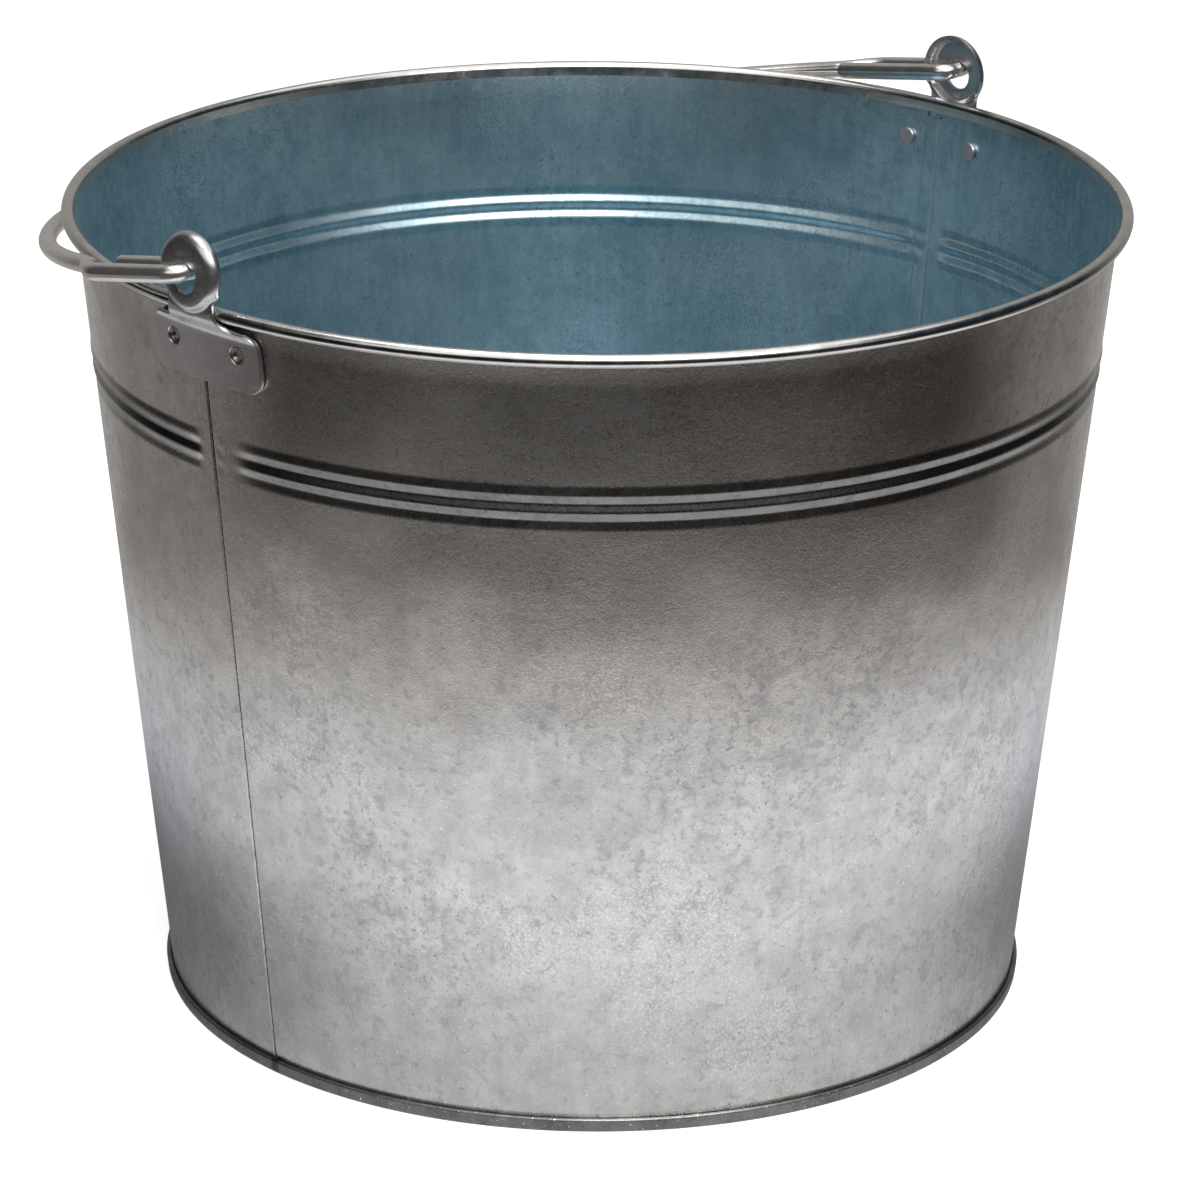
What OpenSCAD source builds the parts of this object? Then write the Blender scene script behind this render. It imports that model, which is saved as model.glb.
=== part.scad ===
// Galvanised steel florist bucket: two lock-seamed wall halves, a seamed-in
// bottom, a wired rim, two riveted ears and a swinging wire bail.
// Origin: centre of the base ring on the floor, +Z up, +X through the right
// ear, +Y towards the side the bail is lowered to.

/* [Body] */
// Outside diameter of the rolled rim
rim_od = 300; // [280:1:320]
// Outside diameter of the base ring
base_od = 250.2; // [236:0.2:262]
// Overall height to the top of the rim
pail_h = 230.7; // [210:0.1:250]
// Thickness of the galvanised sheet
sheet = 0.45; // [0.4:0.05:0.5]
// Height of the floor sheet's top face above the ground
floor_h = 8; // [7:0.5:12]
// Diameter of the hoop wire inside the rim
hoop_d = 2.7; // [2.4:0.1:3.2]

/* [Twin bead] */
// Distance from the rim's centre down to the top of the beads
bead_drop = 36.1; // [30:0.1:60]
// Height of one bead slope
bead_pitch = 2.4; // [2:0.1:3.5]
// How far a bead stands out or in
bead_amp = 0.5; // [0.2:0.05:0.6]

/* [Side seams] */
// Angle of the right seam line, measured from +X
seam_right = 0.2; // [-1:0.1:1]
// Angle of the left seam line
seam_left = 179.3; // [179:0.1:181]
// Width of the raised seam band inside
seam_w = 4.4; // [4:0.1:6]

/* [Base seam] */
// Height of the base ring
chime_h = 4; // [3.8:0.1:5]

/* [Ears] */
// Thickness of the ear sheet
ear_t = 1; // [0.8:0.1:1.2]
// Width of the ear plate
plate_w = 42; // [38:1:46]
// Height of the ear plate
plate_h = 16.6; // [15:0.1:20]
// Distance from the rim's centre down to the top of the plate
plate_drop = 4.2; // [4:0.1:5]
// Width of the neck
neck_w = 17; // [14:0.5:18]
// Outside radius of the dished disc
disc_r = 11.2; // [10.5:0.1:12]
// Outer corner radius of the dish
dish_r = 3.4; // [3:0.1:3.8]
// Height of the disc's centre above the rim's centre
disc_up = 10.1; // [9.5:0.1:11]
// Diameter of the bail hole
hole_d = 8.8; // [8.4:0.1:9.4]
// Height of the hole's centre above the rim's centre
hole_up = 9.1; // [9:0.1:10]

/* [Rivets] */
// Angle from an ear's centre line to each rivet
rivet_ang = 4.9; // [4.5:0.1:5.2]
// Distance from the rim's centre down to the rivets
rivet_drop = 10.7; // [10:0.1:12]
// Diameter of the flat rivet head inside the bucket
rivet_head_d = 5.2; // [4.8:0.1:6]
// Height of the rivet head
rivet_head_h = 1.2; // [0.8:0.1:1.5]

/* [Bail] */
// Diameter of the bail wire
wire_d = 5; // [4.6:0.1:5]
// Radius of the bail's arch, at the wire's centre
arch_r = 155; // [154.6:0.1:158]
// Distance from the middle to the outer leg's centre
leg_out = 156.1; // [155.9:0.1:158]
// Distance from the middle to the inner leg's centre
leg_in = 146; // [145.8:0.1:146.2]
// Length of the left inner leg, from the hinge line
leg_len_left = 34; // [20:1:38]
// Length of the right inner leg, from the hinge line
leg_len_right = 42; // [20:1:44]
// Angle below level at which the lowered bail rests
rest_droop = 10.5; // [9:0.5:10.5]

/* [Hidden] */
$fn = 96;

gal = [0.60, 0.62, 0.63];
gal_dark = [0.36, 0.37, 0.38];
plated = [0.72, 0.72, 0.71];
bright = [0.80, 0.80, 0.78];
rivet_c = [0.52, 0.48, 0.48];
putty = [0.55, 0.53, 0.47];

t = sheet;
g = 0.1;                                // gap between layers in the base seam
gl = 0.05;                              // gap between layers in a side seam
bead_r = hoop_d / 2 + 0.05 + t;         // outside radius of the rolled rim
rim_r = rim_od / 2 - bead_r;            // radius of the rim's centre line
z_rim = pail_h - bead_r;                // height of the rim's centre line
r_top = rim_r - bead_r;                 // wall's outside radius at z_rim
r_base = base_od / 2 - 3 * (t + g);     // wall's outside radius at z = 3
taper = (r_top - r_base) / (z_rim - 3);
lean = atan(taper);
lay = t + gl;                           // pitch of the side seam's layers

zb = z_rim - bead_drop;                 // top of the twin bead
bead_z = [for (i = [0:5]) zb - i * bead_pitch];
bead_o = [0, 1, -1, 1, -1, 0];

z_lay0 = floor_h + 1.5;                 // span of the side seams' layers
z_lay1 = z_rim - 6.8;

hinge_z = z_rim + hole_up + hole_d / 2 - wire_d / 2 - 0.15;
bend_r = 3.4;                           // wire centre line at the eye bends
joggle_r = 14;                          // wire centre line at the joggles
joggle_v = 30;                          // where the outer leg starts to joggle

// Wall's outside radius at height z, with no bead
function rw(z) = r_base + (z - 3) * taper;

// Corner direction of a mitred ribbon
function seg_n(a, b) = let (d = b - a) [d[1], -d[0]] / norm(d);
function mitre(p, i) =
    i == 0 ? seg_n(p[0], p[1]) :
    i == len(p) - 1 ? seg_n(p[i - 1], p[i]) :
    let (n1 = seg_n(p[i - 1], p[i]), n2 = seg_n(p[i], p[i + 1]))
        (n1 + n2) / (1 + n1 * n2);
// Outline of a sheet of thickness w along the centre line p
function ribbon(p, w) = concat(
    [for (i = [0:len(p) - 1]) p[i] + mitre(p, i) * w / 2],
    [for (i = [len(p) - 1:-1:0]) p[i] - mitre(p, i) * w / 2]);
function arc(c, r, a0, a1, n) =
    [for (i = [0:n]) let (a = a0 + (a1 - a0) * i / n) c + r * [cos(a), sin(a)]];

// Heights and offsets of the wall between two heights, bottom to top
wall_z = [for (i = [5:-1:0]) [bead_z[i], bead_o[i] * bead_amp]];

// Section of a layer that follows the wall, from offset a to offset b
function layer(a, b, z0 = z_lay0, z1 = z_lay1) = let (
    zz = concat([[z0, 0]], wall_z, [[z1, 0]]))
    concat([for (p = zz) [rw(p[0]) + p[1] + a, p[0]]],
           [for (i = [len(zz) - 1:-1:0]) [rw(zz[i][0]) + zz[i][1] + b, zz[i][0]]]);

// Centre line of the wall sheet: body hook, turn, wall, beads, neck and curl
function wall_line() = let (
    r_turn = g + t,
    z_turn = t + g + t / 2 + r_turn,
    z_hook = chime_h - t - g - 0.45,
    r_hook = rw(z_hook) - t / 2 + 2 * r_turn,
    c_turn = [rw(z_turn) - t / 2 + r_turn, z_turn],
    r_curl = bead_r - t / 2)
    concat(
        [[r_hook, z_hook]],
        arc(c_turn, r_turn, 0, -180, 6),
        [for (p = wall_z) [rw(p[0]) + p[1] - t / 2, p[0]]],
        [[rw(z_rim - 6) - t / 2, z_rim - 6], [rim_r - r_curl, z_rim - 1.5]],
        arc([rim_r, z_rim], r_curl, 180, -112, 22));

module spin(a0, a1) { rotate([0, 0, a0]) rotate_extrude(angle = a1 - a0) children(); }

// Angle that an arc of length s takes at radius r
function ang(s, r = 135) = s / r * 180 / PI;

// Wall half from seam angle a0 to seam angle a1. At a0 its edge folds in and
// back as the outer hook; at a1 it steps in and folds back as the inner hook.
module wall_half(a0, a1) {
    gap = ang(0.08);
    fold = ang(t);
    band = ang(seam_w);
    spin(a0 + gap, a1 - gap) polygon(ribbon(wall_line(), t));
    // outer hook at a0: fold, then the third layer
    spin(a0 + gap * 1.3, a0 + gap + fold) polygon(layer(-t / 2, -2 * lay - t / 2, z_lay0 + 0.3, z_lay1 - 0.3));
    spin(a0 + gap * 1.6, a0 + band - fold - 2 * gap) polygon(layer(-2 * lay, -2 * lay - t));
    // inner hook at a1: step, fourth layer, fold, then the second layer
    spin(a1 - gap - fold, a1 - gap * 1.3) polygon(layer(-t / 2, -3 * lay - t / 2, z_lay0 + 0.3, z_lay1 - 0.3));
    spin(a1 - gap * 1.6 - fold, a1 + band) polygon(layer(-3 * lay, -3 * lay - t));
    spin(a1 + band - fold, a1 + band - gap * 0.3) polygon(layer(-lay - t / 2, -3 * lay - t / 2, z_lay0 + 0.3, z_lay1 - 0.3));
    spin(a1 + fold + 2 * gap, a1 + band - gap * 0.6) polygon(layer(-lay, -lay - t, z_lay0 + 0.15, z_lay1 - 0.15));
}

// Places children on the wall at angle a and height z, +X out along the
// wall's own normal and x = 0 on its outside face
module on_wall(a, z) { rotate([0, 0, a]) translate([rw(z), 0, z]) rotate([0, lean, 0]) children(); }

module rivet_at(a) { on_wall(a, z_rim - rivet_drop) children(); }

module rivet_bore() { rotate([0, 90, 0]) translate([0, 0, -3]) cylinder(r = 2.1, h = 6); }

module front_wall() color(gal) difference() {
    wall_half(seam_left - 360, seam_right);
    rivet_at(-rivet_ang) rivet_bore();
    rivet_at(180 + rivet_ang) rivet_bore();
}

module back_wall() color(gal) difference() {
    wall_half(seam_right, seam_left);
    rivet_at(rivet_ang) rivet_bore();
    rivet_at(180 - rivet_ang) rivet_bore();
}

// Bottom: floor, countersink wall, and the sheet rolled round the body hook
function pan_line() = let (
    off_in = -t - g - t / 2,
    off_out = 3 * g + 2.5 * t,
    off_hook = g + t / 2,
    rt = (off_out - off_hook) / 2,
    rc = 2)
    concat(
        [[0, floor_h - t / 2]],
        arc([rw(floor_h - rc) + off_in - rc, floor_h - t / 2 - rc], rc, 90, 0, 4),
        [[rw(1) + off_in, 1.0]],
        arc([rw(0.8) + off_in + 0.6, t / 2 + 0.6], 0.6, 180, 270, 4),
        arc([rw(0.8) + off_out - 0.6, t / 2 + 0.6], 0.6, -90, 0, 4),
        arc([rw(chime_h - t / 2 - rt) + off_hook + rt, chime_h - t / 2 - rt], rt, 0, 180, 6),
        [[rw(2 * t + 2 * g + 0.1) + off_hook, 2 * t + 2 * g + 0.1]]);

module bottom_pan() color(gal_dark) rotate_extrude()
    difference() {
        polygon(ribbon(pan_line(), t));
        translate([-5, 0]) square([5, 20]);
    }

module rim_wire() color(plated) spin(seam_right + 0.15, seam_right + 359.85)
    translate([rim_r, z_rim]) circle(d = hoop_d);

// Section of the ear's plate and neck: along the wall, out round the rim, up
function ear_line() = let (
    zb0 = z_rim - plate_drop - plate_h - 1,
    z1 = z_rim - 6.4,
    rn = rim_r + bead_r + 0.25 + ear_t / 2,
    r1 = rw(z1) + 0.05 + ear_t / 2)
    [[rw(zb0) + 0.05 + ear_t / 2, zb0], [r1, z1],
     [r1 + 0.5, z1 + 0.9], [rn - 0.5, z1 + rn - r1 + 0.4],
     [rn, z1 + rn - r1 + 1.3], [rn, z_rim + 2.9]];

// Outline of the plate and neck seen from outside, in y and z
module ear_outline() {
    zt = z_rim - plate_drop;
    w = plate_w / 2;
    c = 5;
    f = 5;
    translate([-w + c, zt - plate_h]) square([plate_w - 2 * c, plate_h]);
    translate([-w, zt - plate_h + c]) square([plate_w, plate_h - 2 * c]);
    for (s = [-1, 1], z = [zt - c, zt - plate_h + c]) translate([s * (w - c), z]) circle(r = c);
    translate([-neck_w / 2, zt - 4]) square([neck_w, 12]);
    for (s = [-1, 1]) difference() {
        translate([s * (neck_w / 2 + f / 2 - 0.1), zt + f / 2 - 0.5]) square([f + 0.2, f + 1], center = true);
        translate([s * (neck_w / 2 + f), zt + f]) circle(r = f);
    }
}

module ear_disc() {
    x_out = rim_r + bead_r + 0.25 + ear_t + 1.55;
    translate([0, 0, z_rim + disc_up]) rotate([0, 90, 0]) rotate_extrude() {
        translate([0, x_out - ear_t]) square([disc_r - dish_r + 0.01, ear_t]);
        translate([disc_r - dish_r, x_out - dish_r]) intersection() {
            difference() { circle(r = dish_r); circle(r = dish_r - ear_t); }
            square(dish_r + 1);
        }
        translate([disc_r - ear_t, x_out - dish_r - 0.25]) square([ear_t, 0.26]);
    }
}

module ear() {
    difference() {
        union() {
            intersection() {
                spin(-12, 12) polygon(ribbon(ear_line(), ear_t));
                translate([rim_r - 20, 0, 0]) rotate([90, 0, 90]) linear_extrude(40) ear_outline();
            }
            difference() {
                ear_disc();
                cylinder(r = rim_r + bead_r + 0.15, h = z_rim + bead_r + 0.6);
            }
        }
        translate([rim_r - 10, 0, z_rim + hole_up]) rotate([0, 90, 0]) cylinder(d = hole_d, h = 30);
        for (s = [-1, 1]) rivet_at(s * rivet_ang) rotate([0, 90, 0]) {
            translate([0, 0, -1]) cylinder(r = 2.15, h = 4);
            translate([0, 0, 0.55]) cylinder(r1 = 2.15, r2 = 2.65, h = 0.56 + ear_t - 1);
            translate([0, 0, 1.1 + ear_t - 1]) cylinder(r = 2.65, h = 1);
        }
    }
}

module right_ear() color(plated) ear();
module left_ear() color(plated) rotate([0, 0, 180]) ear();

// Semi-tubular rivet: flat head inside, hollow tail spread flush in the ear
module rivet() color(rivet_c) rotate([0, 90, 0]) difference() {
    union() {
        translate([0, 0, -t - 0.05 - rivet_head_h]) cylinder(d = rivet_head_d, h = rivet_head_h);
        translate([0, 0, -t - 0.3]) cylinder(r = 2.05, h = t + 0.3 + 0.6);
        translate([0, 0, 0.6]) cylinder(r1 = 2.05, r2 = 2.4, h = 0.35 + ear_t - 1);
    }
    translate([0, 0, 0.15]) cylinder(r = 1.6, h = 2);
}

module left_ear_front_rivet() rivet_at(180 + rivet_ang) rivet();
module left_ear_back_rivet() rivet_at(180 - rivet_ang) rivet();
module right_ear_front_rivet() rivet_at(-rivet_ang) rivet();
module right_ear_back_rivet() rivet_at(rivet_ang) rivet();

// Wire along an arc of radius r about point c in the bail's plane
module wire_arc(c, r, a0, a1) translate([c[0], c[1], 0]) spin(a0, a1) translate([r, 0]) circle(d = wire_d);
module wire_run(u, v0, v1) translate([u, v0, 0]) rotate([-90, 0, 0]) cylinder(d = wire_d, h = v1 - v0);

// Where the joggle's two arcs and the arch meet, with a short straight
// between each pair
stub = 1.2;
c1 = [leg_out - joggle_r, joggle_v];
c1_len = norm(c1);
c2_len = norm([arch_r + joggle_r, stub]);
c12_len = norm([2 * joggle_r, stub]);
c2_a = (pow(c2_len, 2) - pow(c12_len, 2) + pow(c1_len, 2)) / (2 * c1_len);
c2_h = sqrt(pow(c2_len, 2) - pow(c2_a, 2));
c2 = c2_a * c1 / c1_len + c2_h * [-c1[1], c1[0]] / c1_len;
turn_a = atan2(c2[1] - c1[1], c2[0] - c1[0]) - atan2(stub, 2 * joggle_r);
arch_a = atan2(c2[1], c2[0]) + atan2(stub, arch_r + joggle_r);

// Straight sleeve on point p of the wire, where its direction is a + 90. It is
// a hair thicker and longer than the gap it closes.
module wire_stub(p, a) translate(concat(p, [0])) rotate([0, 0, a])
    translate([0, -0.15, 0]) rotate([-90, 0, 0]) cylinder(d = wire_d + 0.04, h = stub + 0.3);

module bail_side(len) {
    wire_run(leg_in, bend_r, len - 0.6);
    translate([leg_in, len - 0.6, 0]) rotate([-90, 0, 0]) cylinder(d1 = wire_d, d2 = wire_d - 1.2, h = 0.6);
    wire_arc([leg_in + bend_r, bend_r], bend_r, 180, 270);
    translate([leg_in + bend_r, 0, 0]) rotate([0, 90, 0]) cylinder(d = wire_d, h = leg_out - leg_in - 2 * bend_r);
    wire_arc([leg_out - bend_r, bend_r], bend_r, -90, 0);
    wire_run(leg_out, bend_r, joggle_v);
    wire_arc(c1, joggle_r, 0, turn_a);
    wire_stub(c1 + joggle_r * [cos(turn_a), sin(turn_a)], turn_a);
    wire_arc(c2, joggle_r, 180 + arch_a, 180 + turn_a);
    wire_stub(arch_r * [cos(arch_a), sin(arch_a)] - stub * [-sin(arch_a), cos(arch_a)], arch_a);
}

module bail() color(bright) translate([0, 0, hinge_z]) rotate([-rest_droop, 0, 0]) {
    bail_side(leg_len_right);
    mirror([1, 0, 0]) bail_side(leg_len_left);
    wire_arc([0, 0], arch_r, arch_a, 180 - arch_a);
}

module bottom_seam_sealant() color(putty) rotate_extrude()
    translate([rw(3.2) + 2 * g + 1.5 * t, chime_h - 0.72]) circle(r = 0.2);

// Strip of compound in the void between the hooks of a side seam at angle a
module seam_sealant(a) spin(a + ang(seam_w) - ang(t) - ang(0.16) * 0.9, a + ang(seam_w) - ang(t) - ang(0.02))
    polygon(layer(-2 * lay - 0.03, -2 * lay - t + 0.03, z_lay0 + 0.2, z_lay1 - 0.2));
module left_seam_sealant() color(putty) seam_sealant(seam_left);
module right_seam_sealant() color(putty) seam_sealant(seam_right);

front_wall();
back_wall();
bottom_pan();
rim_wire();
left_ear();
right_ear();
left_ear_front_rivet();
left_ear_back_rivet();
right_ear_front_rivet();
right_ear_back_rivet();
bail();
bottom_seam_sealant();
left_seam_sealant();
right_seam_sealant();
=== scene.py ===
import math

import bmesh
import bpy
import numpy as np
from mathutils import Matrix, Vector


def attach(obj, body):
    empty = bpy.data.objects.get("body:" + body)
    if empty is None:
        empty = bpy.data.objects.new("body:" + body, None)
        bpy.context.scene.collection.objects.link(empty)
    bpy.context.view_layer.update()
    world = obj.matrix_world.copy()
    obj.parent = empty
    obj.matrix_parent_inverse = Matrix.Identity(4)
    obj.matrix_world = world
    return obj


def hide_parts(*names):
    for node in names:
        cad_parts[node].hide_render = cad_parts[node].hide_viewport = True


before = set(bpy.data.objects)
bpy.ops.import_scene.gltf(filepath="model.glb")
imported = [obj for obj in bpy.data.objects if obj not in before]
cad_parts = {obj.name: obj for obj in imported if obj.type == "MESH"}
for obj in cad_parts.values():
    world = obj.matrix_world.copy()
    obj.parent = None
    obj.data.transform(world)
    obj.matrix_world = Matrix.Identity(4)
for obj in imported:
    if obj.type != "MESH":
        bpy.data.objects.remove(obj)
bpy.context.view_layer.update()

MM = 0.001
scene = bpy.context.scene

# ----------------------------------------------------------------- camera
cam_data = bpy.data.cameras.new("camera")
cam_data.sensor_fit = "AUTO"
cam_data.sensor_width = 36.0
cam_data.lens = 161.84
cam_data.clip_start = 0.05
cam_data.clip_end = 50.0
cam = bpy.data.objects.new("camera", cam_data)
scene.collection.objects.link(cam)
cam.matrix_world = Matrix((
    (0.709367, 0.239380, -0.662944, -1.032378),
    (-0.704808, 0.249736, -0.663986, -1.032378),
    (0.006616, 0.938259, 0.345871, 0.647552),
    (0.0, 0.0, 0.0, 1.0)))
scene.camera = cam

# ------------------------------------------------------- design dimensions
T = 0.45                       # sheet
BEAD_R = 1.84                  # rolled rim, outside radius
RIM_R = 148.15
Z_RIM = 228.85
R_TOP = 146.3
R_BASE = 125.1 - 3 * (T + 0.1)
TAPER = (R_TOP - R_BASE) / (Z_RIM - 3.0)
LEAN = math.atan(TAPER)
SEAM_R, SEAM_L = 0.2, 179.3    # seam line angles
LAY = T + 0.05
REF_R = 135.0
HINGE_Z = Z_RIM + 9.1 + 4.4 - 2.5 - 0.15


def rw(z):
    return R_BASE + (z - 3.0) * TAPER


def ss(x):
    x = np.clip(x, 0.0, 1.0)
    return x * x * (3 - 2 * x)


# ------------------------------------------------------------ mesh helpers
def build(name, verts, faces, mats, mat_ids=None, sharp=38.0, recalc=True):
    """Mesh object from millimetre points; smooth shaded, split at sharp edges."""
    me = bpy.data.meshes.new(name)
    me.from_pydata((np.asarray(verts, float) * MM).tolist(), [], [list(map(int, f)) for f in faces])
    me.update()
    if mat_ids is not None:
        me.polygons.foreach_set("material_index", np.asarray(mat_ids, np.int32))
    bm = bmesh.new()
    bm.from_mesh(me)
    bmesh.ops.remove_doubles(bm, verts=bm.verts, dist=1e-7)
    loose = [v for v in bm.verts if not v.link_faces]
    if loose:
        bmesh.ops.delete(bm, geom=loose, context="VERTS")
    if recalc:
        bmesh.ops.recalc_face_normals(bm, faces=bm.faces)
    bm.to_mesh(me)
    bm.free()
    for p in me.polygons:
        p.use_smooth = True
    if sharp:
        me.set_sharp_from_angle(angle=math.radians(sharp))
    ob = bpy.data.objects.new(name, me)
    scene.collection.objects.link(ob)
    for m in mats:
        me.materials.append(m)
    return ob


def lathe(profile, n, closed=True, a0=0.0, a1=360.0):
    """Vertices and quads of a closed section turned about Z."""
    p = np.asarray(profile, float)
    m = len(p)
    full = abs(a1 - a0 - 360.0) < 1e-9
    ang = np.radians(a0 + (a1 - a0) * np.arange(n) / (n if full else n - 1))
    v = np.stack([np.outer(np.cos(ang), p[:, 0]), np.outer(np.sin(ang), p[:, 0]),
                  np.broadcast_to(p[:, 1], (n, m))], -1).reshape(-1, 3)
    f = []
    for i in range(n if full else n - 1):
        j = (i + 1) % n
        for k in range(m if closed else m - 1):
            l = (k + 1) % m
            f.append((i * m + k, j * m + k, j * m + l, i * m + l))
    return v, f


def arc_pts(cx, cy, r, a0, a1, n):
    a = np.radians(np.linspace(a0, a1, n))
    return np.stack([cx + r * np.cos(a), cy + r * np.sin(a)], 1)


def path_normals(p):
    """Left-hand unit normals along an open polyline."""
    p = np.asarray(p, float)
    d = np.gradient(p, axis=0)
    d /= np.maximum(np.linalg.norm(d, axis=1, keepdims=True), 1e-12)
    return np.stack([-d[:, 1], d[:, 0]], 1)


def baked(ob):
    """Applies ob's modifiers."""
    bpy.context.view_layer.update()
    dg = bpy.context.evaluated_depsgraph_get()
    me = bpy.data.meshes.new_from_object(ob.evaluated_get(dg), preserve_all_data_layers=True, depsgraph=dg)
    ob.modifiers.clear()
    old = ob.data
    ob.data = me
    bpy.data.meshes.remove(old)
    me.name = ob.name
    return ob


# --------------------------------------------------------------- materials
class Nodes:
    def __init__(self, name):
        self.mat = bpy.data.materials.new(name)
        self.mat.use_nodes = True
        self.t = self.mat.node_tree
        self.t.nodes.clear()
        self.out = self.t.nodes.new("ShaderNodeOutputMaterial")
        self.bsdf = self.t.nodes.new("ShaderNodeBsdfPrincipled")
        self.t.links.new(self.bsdf.outputs[0], self.out.inputs[0])
        self.co = self.t.nodes.new("ShaderNodeTexCoord").outputs["Object"]

    def link(self, a, b):
        self.t.links.new(a, b)

    def put(self, sock, val):
        if isinstance(val, bpy.types.NodeSocket):
            self.link(val, sock)
        else:
            sock.default_value = val

    def mapping(self, scale=(1, 1, 1), loc=(0, 0, 0), src=None):
        n = self.t.nodes.new("ShaderNodeMapping")
        n.inputs["Scale"].default_value = scale
        n.inputs["Location"].default_value = loc
        self.link(src or self.co, n.inputs["Vector"])
        return n.outputs[0]

    def noise(self, scale, detail=2.0, rough=0.5, dist=0.0, vec=None, color=False):
        n = self.t.nodes.new("ShaderNodeTexNoise")
        n.inputs["Scale"].default_value = scale
        n.inputs["Detail"].default_value = detail
        n.inputs["Roughness"].default_value = rough
        n.inputs["Distortion"].default_value = dist
        self.link(vec or self.co, n.inputs["Vector"])
        return n.outputs["Color" if color else "Fac"]

    def voronoi(self, scale, vec=None, feature="F1", out="Color", rand=1.0):
        n = self.t.nodes.new("ShaderNodeTexVoronoi")
        n.feature = feature
        n.inputs["Scale"].default_value = scale
        n.inputs["Randomness"].default_value = rand
        self.link(vec or self.co, n.inputs["Vector"])
        return n.outputs[out]

    def math(self, op, a, b=0.0, c=0.0, clamp=False):
        n = self.t.nodes.new("ShaderNodeMath")
        n.operation = op
        n.use_clamp = clamp
        self.put(n.inputs[0], a)
        self.put(n.inputs[1], b)
        if len(n.inputs) > 2:
            self.put(n.inputs[2], c)
        return n.outputs[0]

    def range(self, v, a, b, c=0.0, d=1.0, smooth=False):
        n = self.t.nodes.new("ShaderNodeMapRange")
        n.interpolation_type = "SMOOTHSTEP" if smooth else "LINEAR"
        self.put(n.inputs["Value"], v)
        n.inputs["From Min"].default_value = a
        n.inputs["From Max"].default_value = b
        n.inputs["To Min"].default_value = c
        n.inputs["To Max"].default_value = d
        return n.outputs["Result"]

    def mix(self, fac, a, b, mode="MIX"):
        n = self.t.nodes.new("ShaderNodeMix")
        n.data_type = "RGBA"
        n.blend_type = mode
        self.put(n.inputs[0], fac)
        for s, v in ((n.inputs[6], a), (n.inputs[7], b)):
            self.put(s, v if isinstance(v, bpy.types.NodeSocket) else (*v[:3], 1.0))
        return n.outputs[2]

    def sep(self, col, ch=0):
        n = self.t.nodes.new("ShaderNodeSeparateXYZ")
        self.link(col, n.inputs[0])
        return n.outputs[ch]

    def warp(self, amount, scale):
        """Object coordinates shaken by noise, amount in metres."""
        n = self.noise(scale, 1.0, 0.5, color=True)
        a = self.t.nodes.new("ShaderNodeVectorMath")
        a.operation = "SUBTRACT"
        self.link(n, a.inputs[0])
        a.inputs[1].default_value = (0.5, 0.5, 0.5)
        b = self.t.nodes.new("ShaderNodeVectorMath")
        b.operation = "SCALE"
        self.link(a.outputs[0], b.inputs[0])
        b.inputs["Scale"].default_value = amount
        c = self.t.nodes.new("ShaderNodeVectorMath")
        c.operation = "ADD"
        self.link(self.co, c.inputs[0])
        self.link(b.outputs[0], c.inputs[1])
        return c.outputs[0]

    def bump(self, h, strength, distance):
        n = self.t.nodes.new("ShaderNodeBump")
        n.inputs["Strength"].default_value = strength
        n.inputs["Distance"].default_value = distance
        self.link(h, n.inputs["Height"])
        self.link(n.outputs[0], self.bsdf.inputs["Normal"])
        return n

    def finish(self, color, rough, metallic=1.0):
        self.put(self.bsdf.inputs["Base Color"], color if isinstance(color, bpy.types.NodeSocket) else (*color, 1))
        self.put(self.bsdf.inputs["Roughness"], rough)
        self.bsdf.inputs["Metallic"].default_value = metallic
        return self.mat


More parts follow.
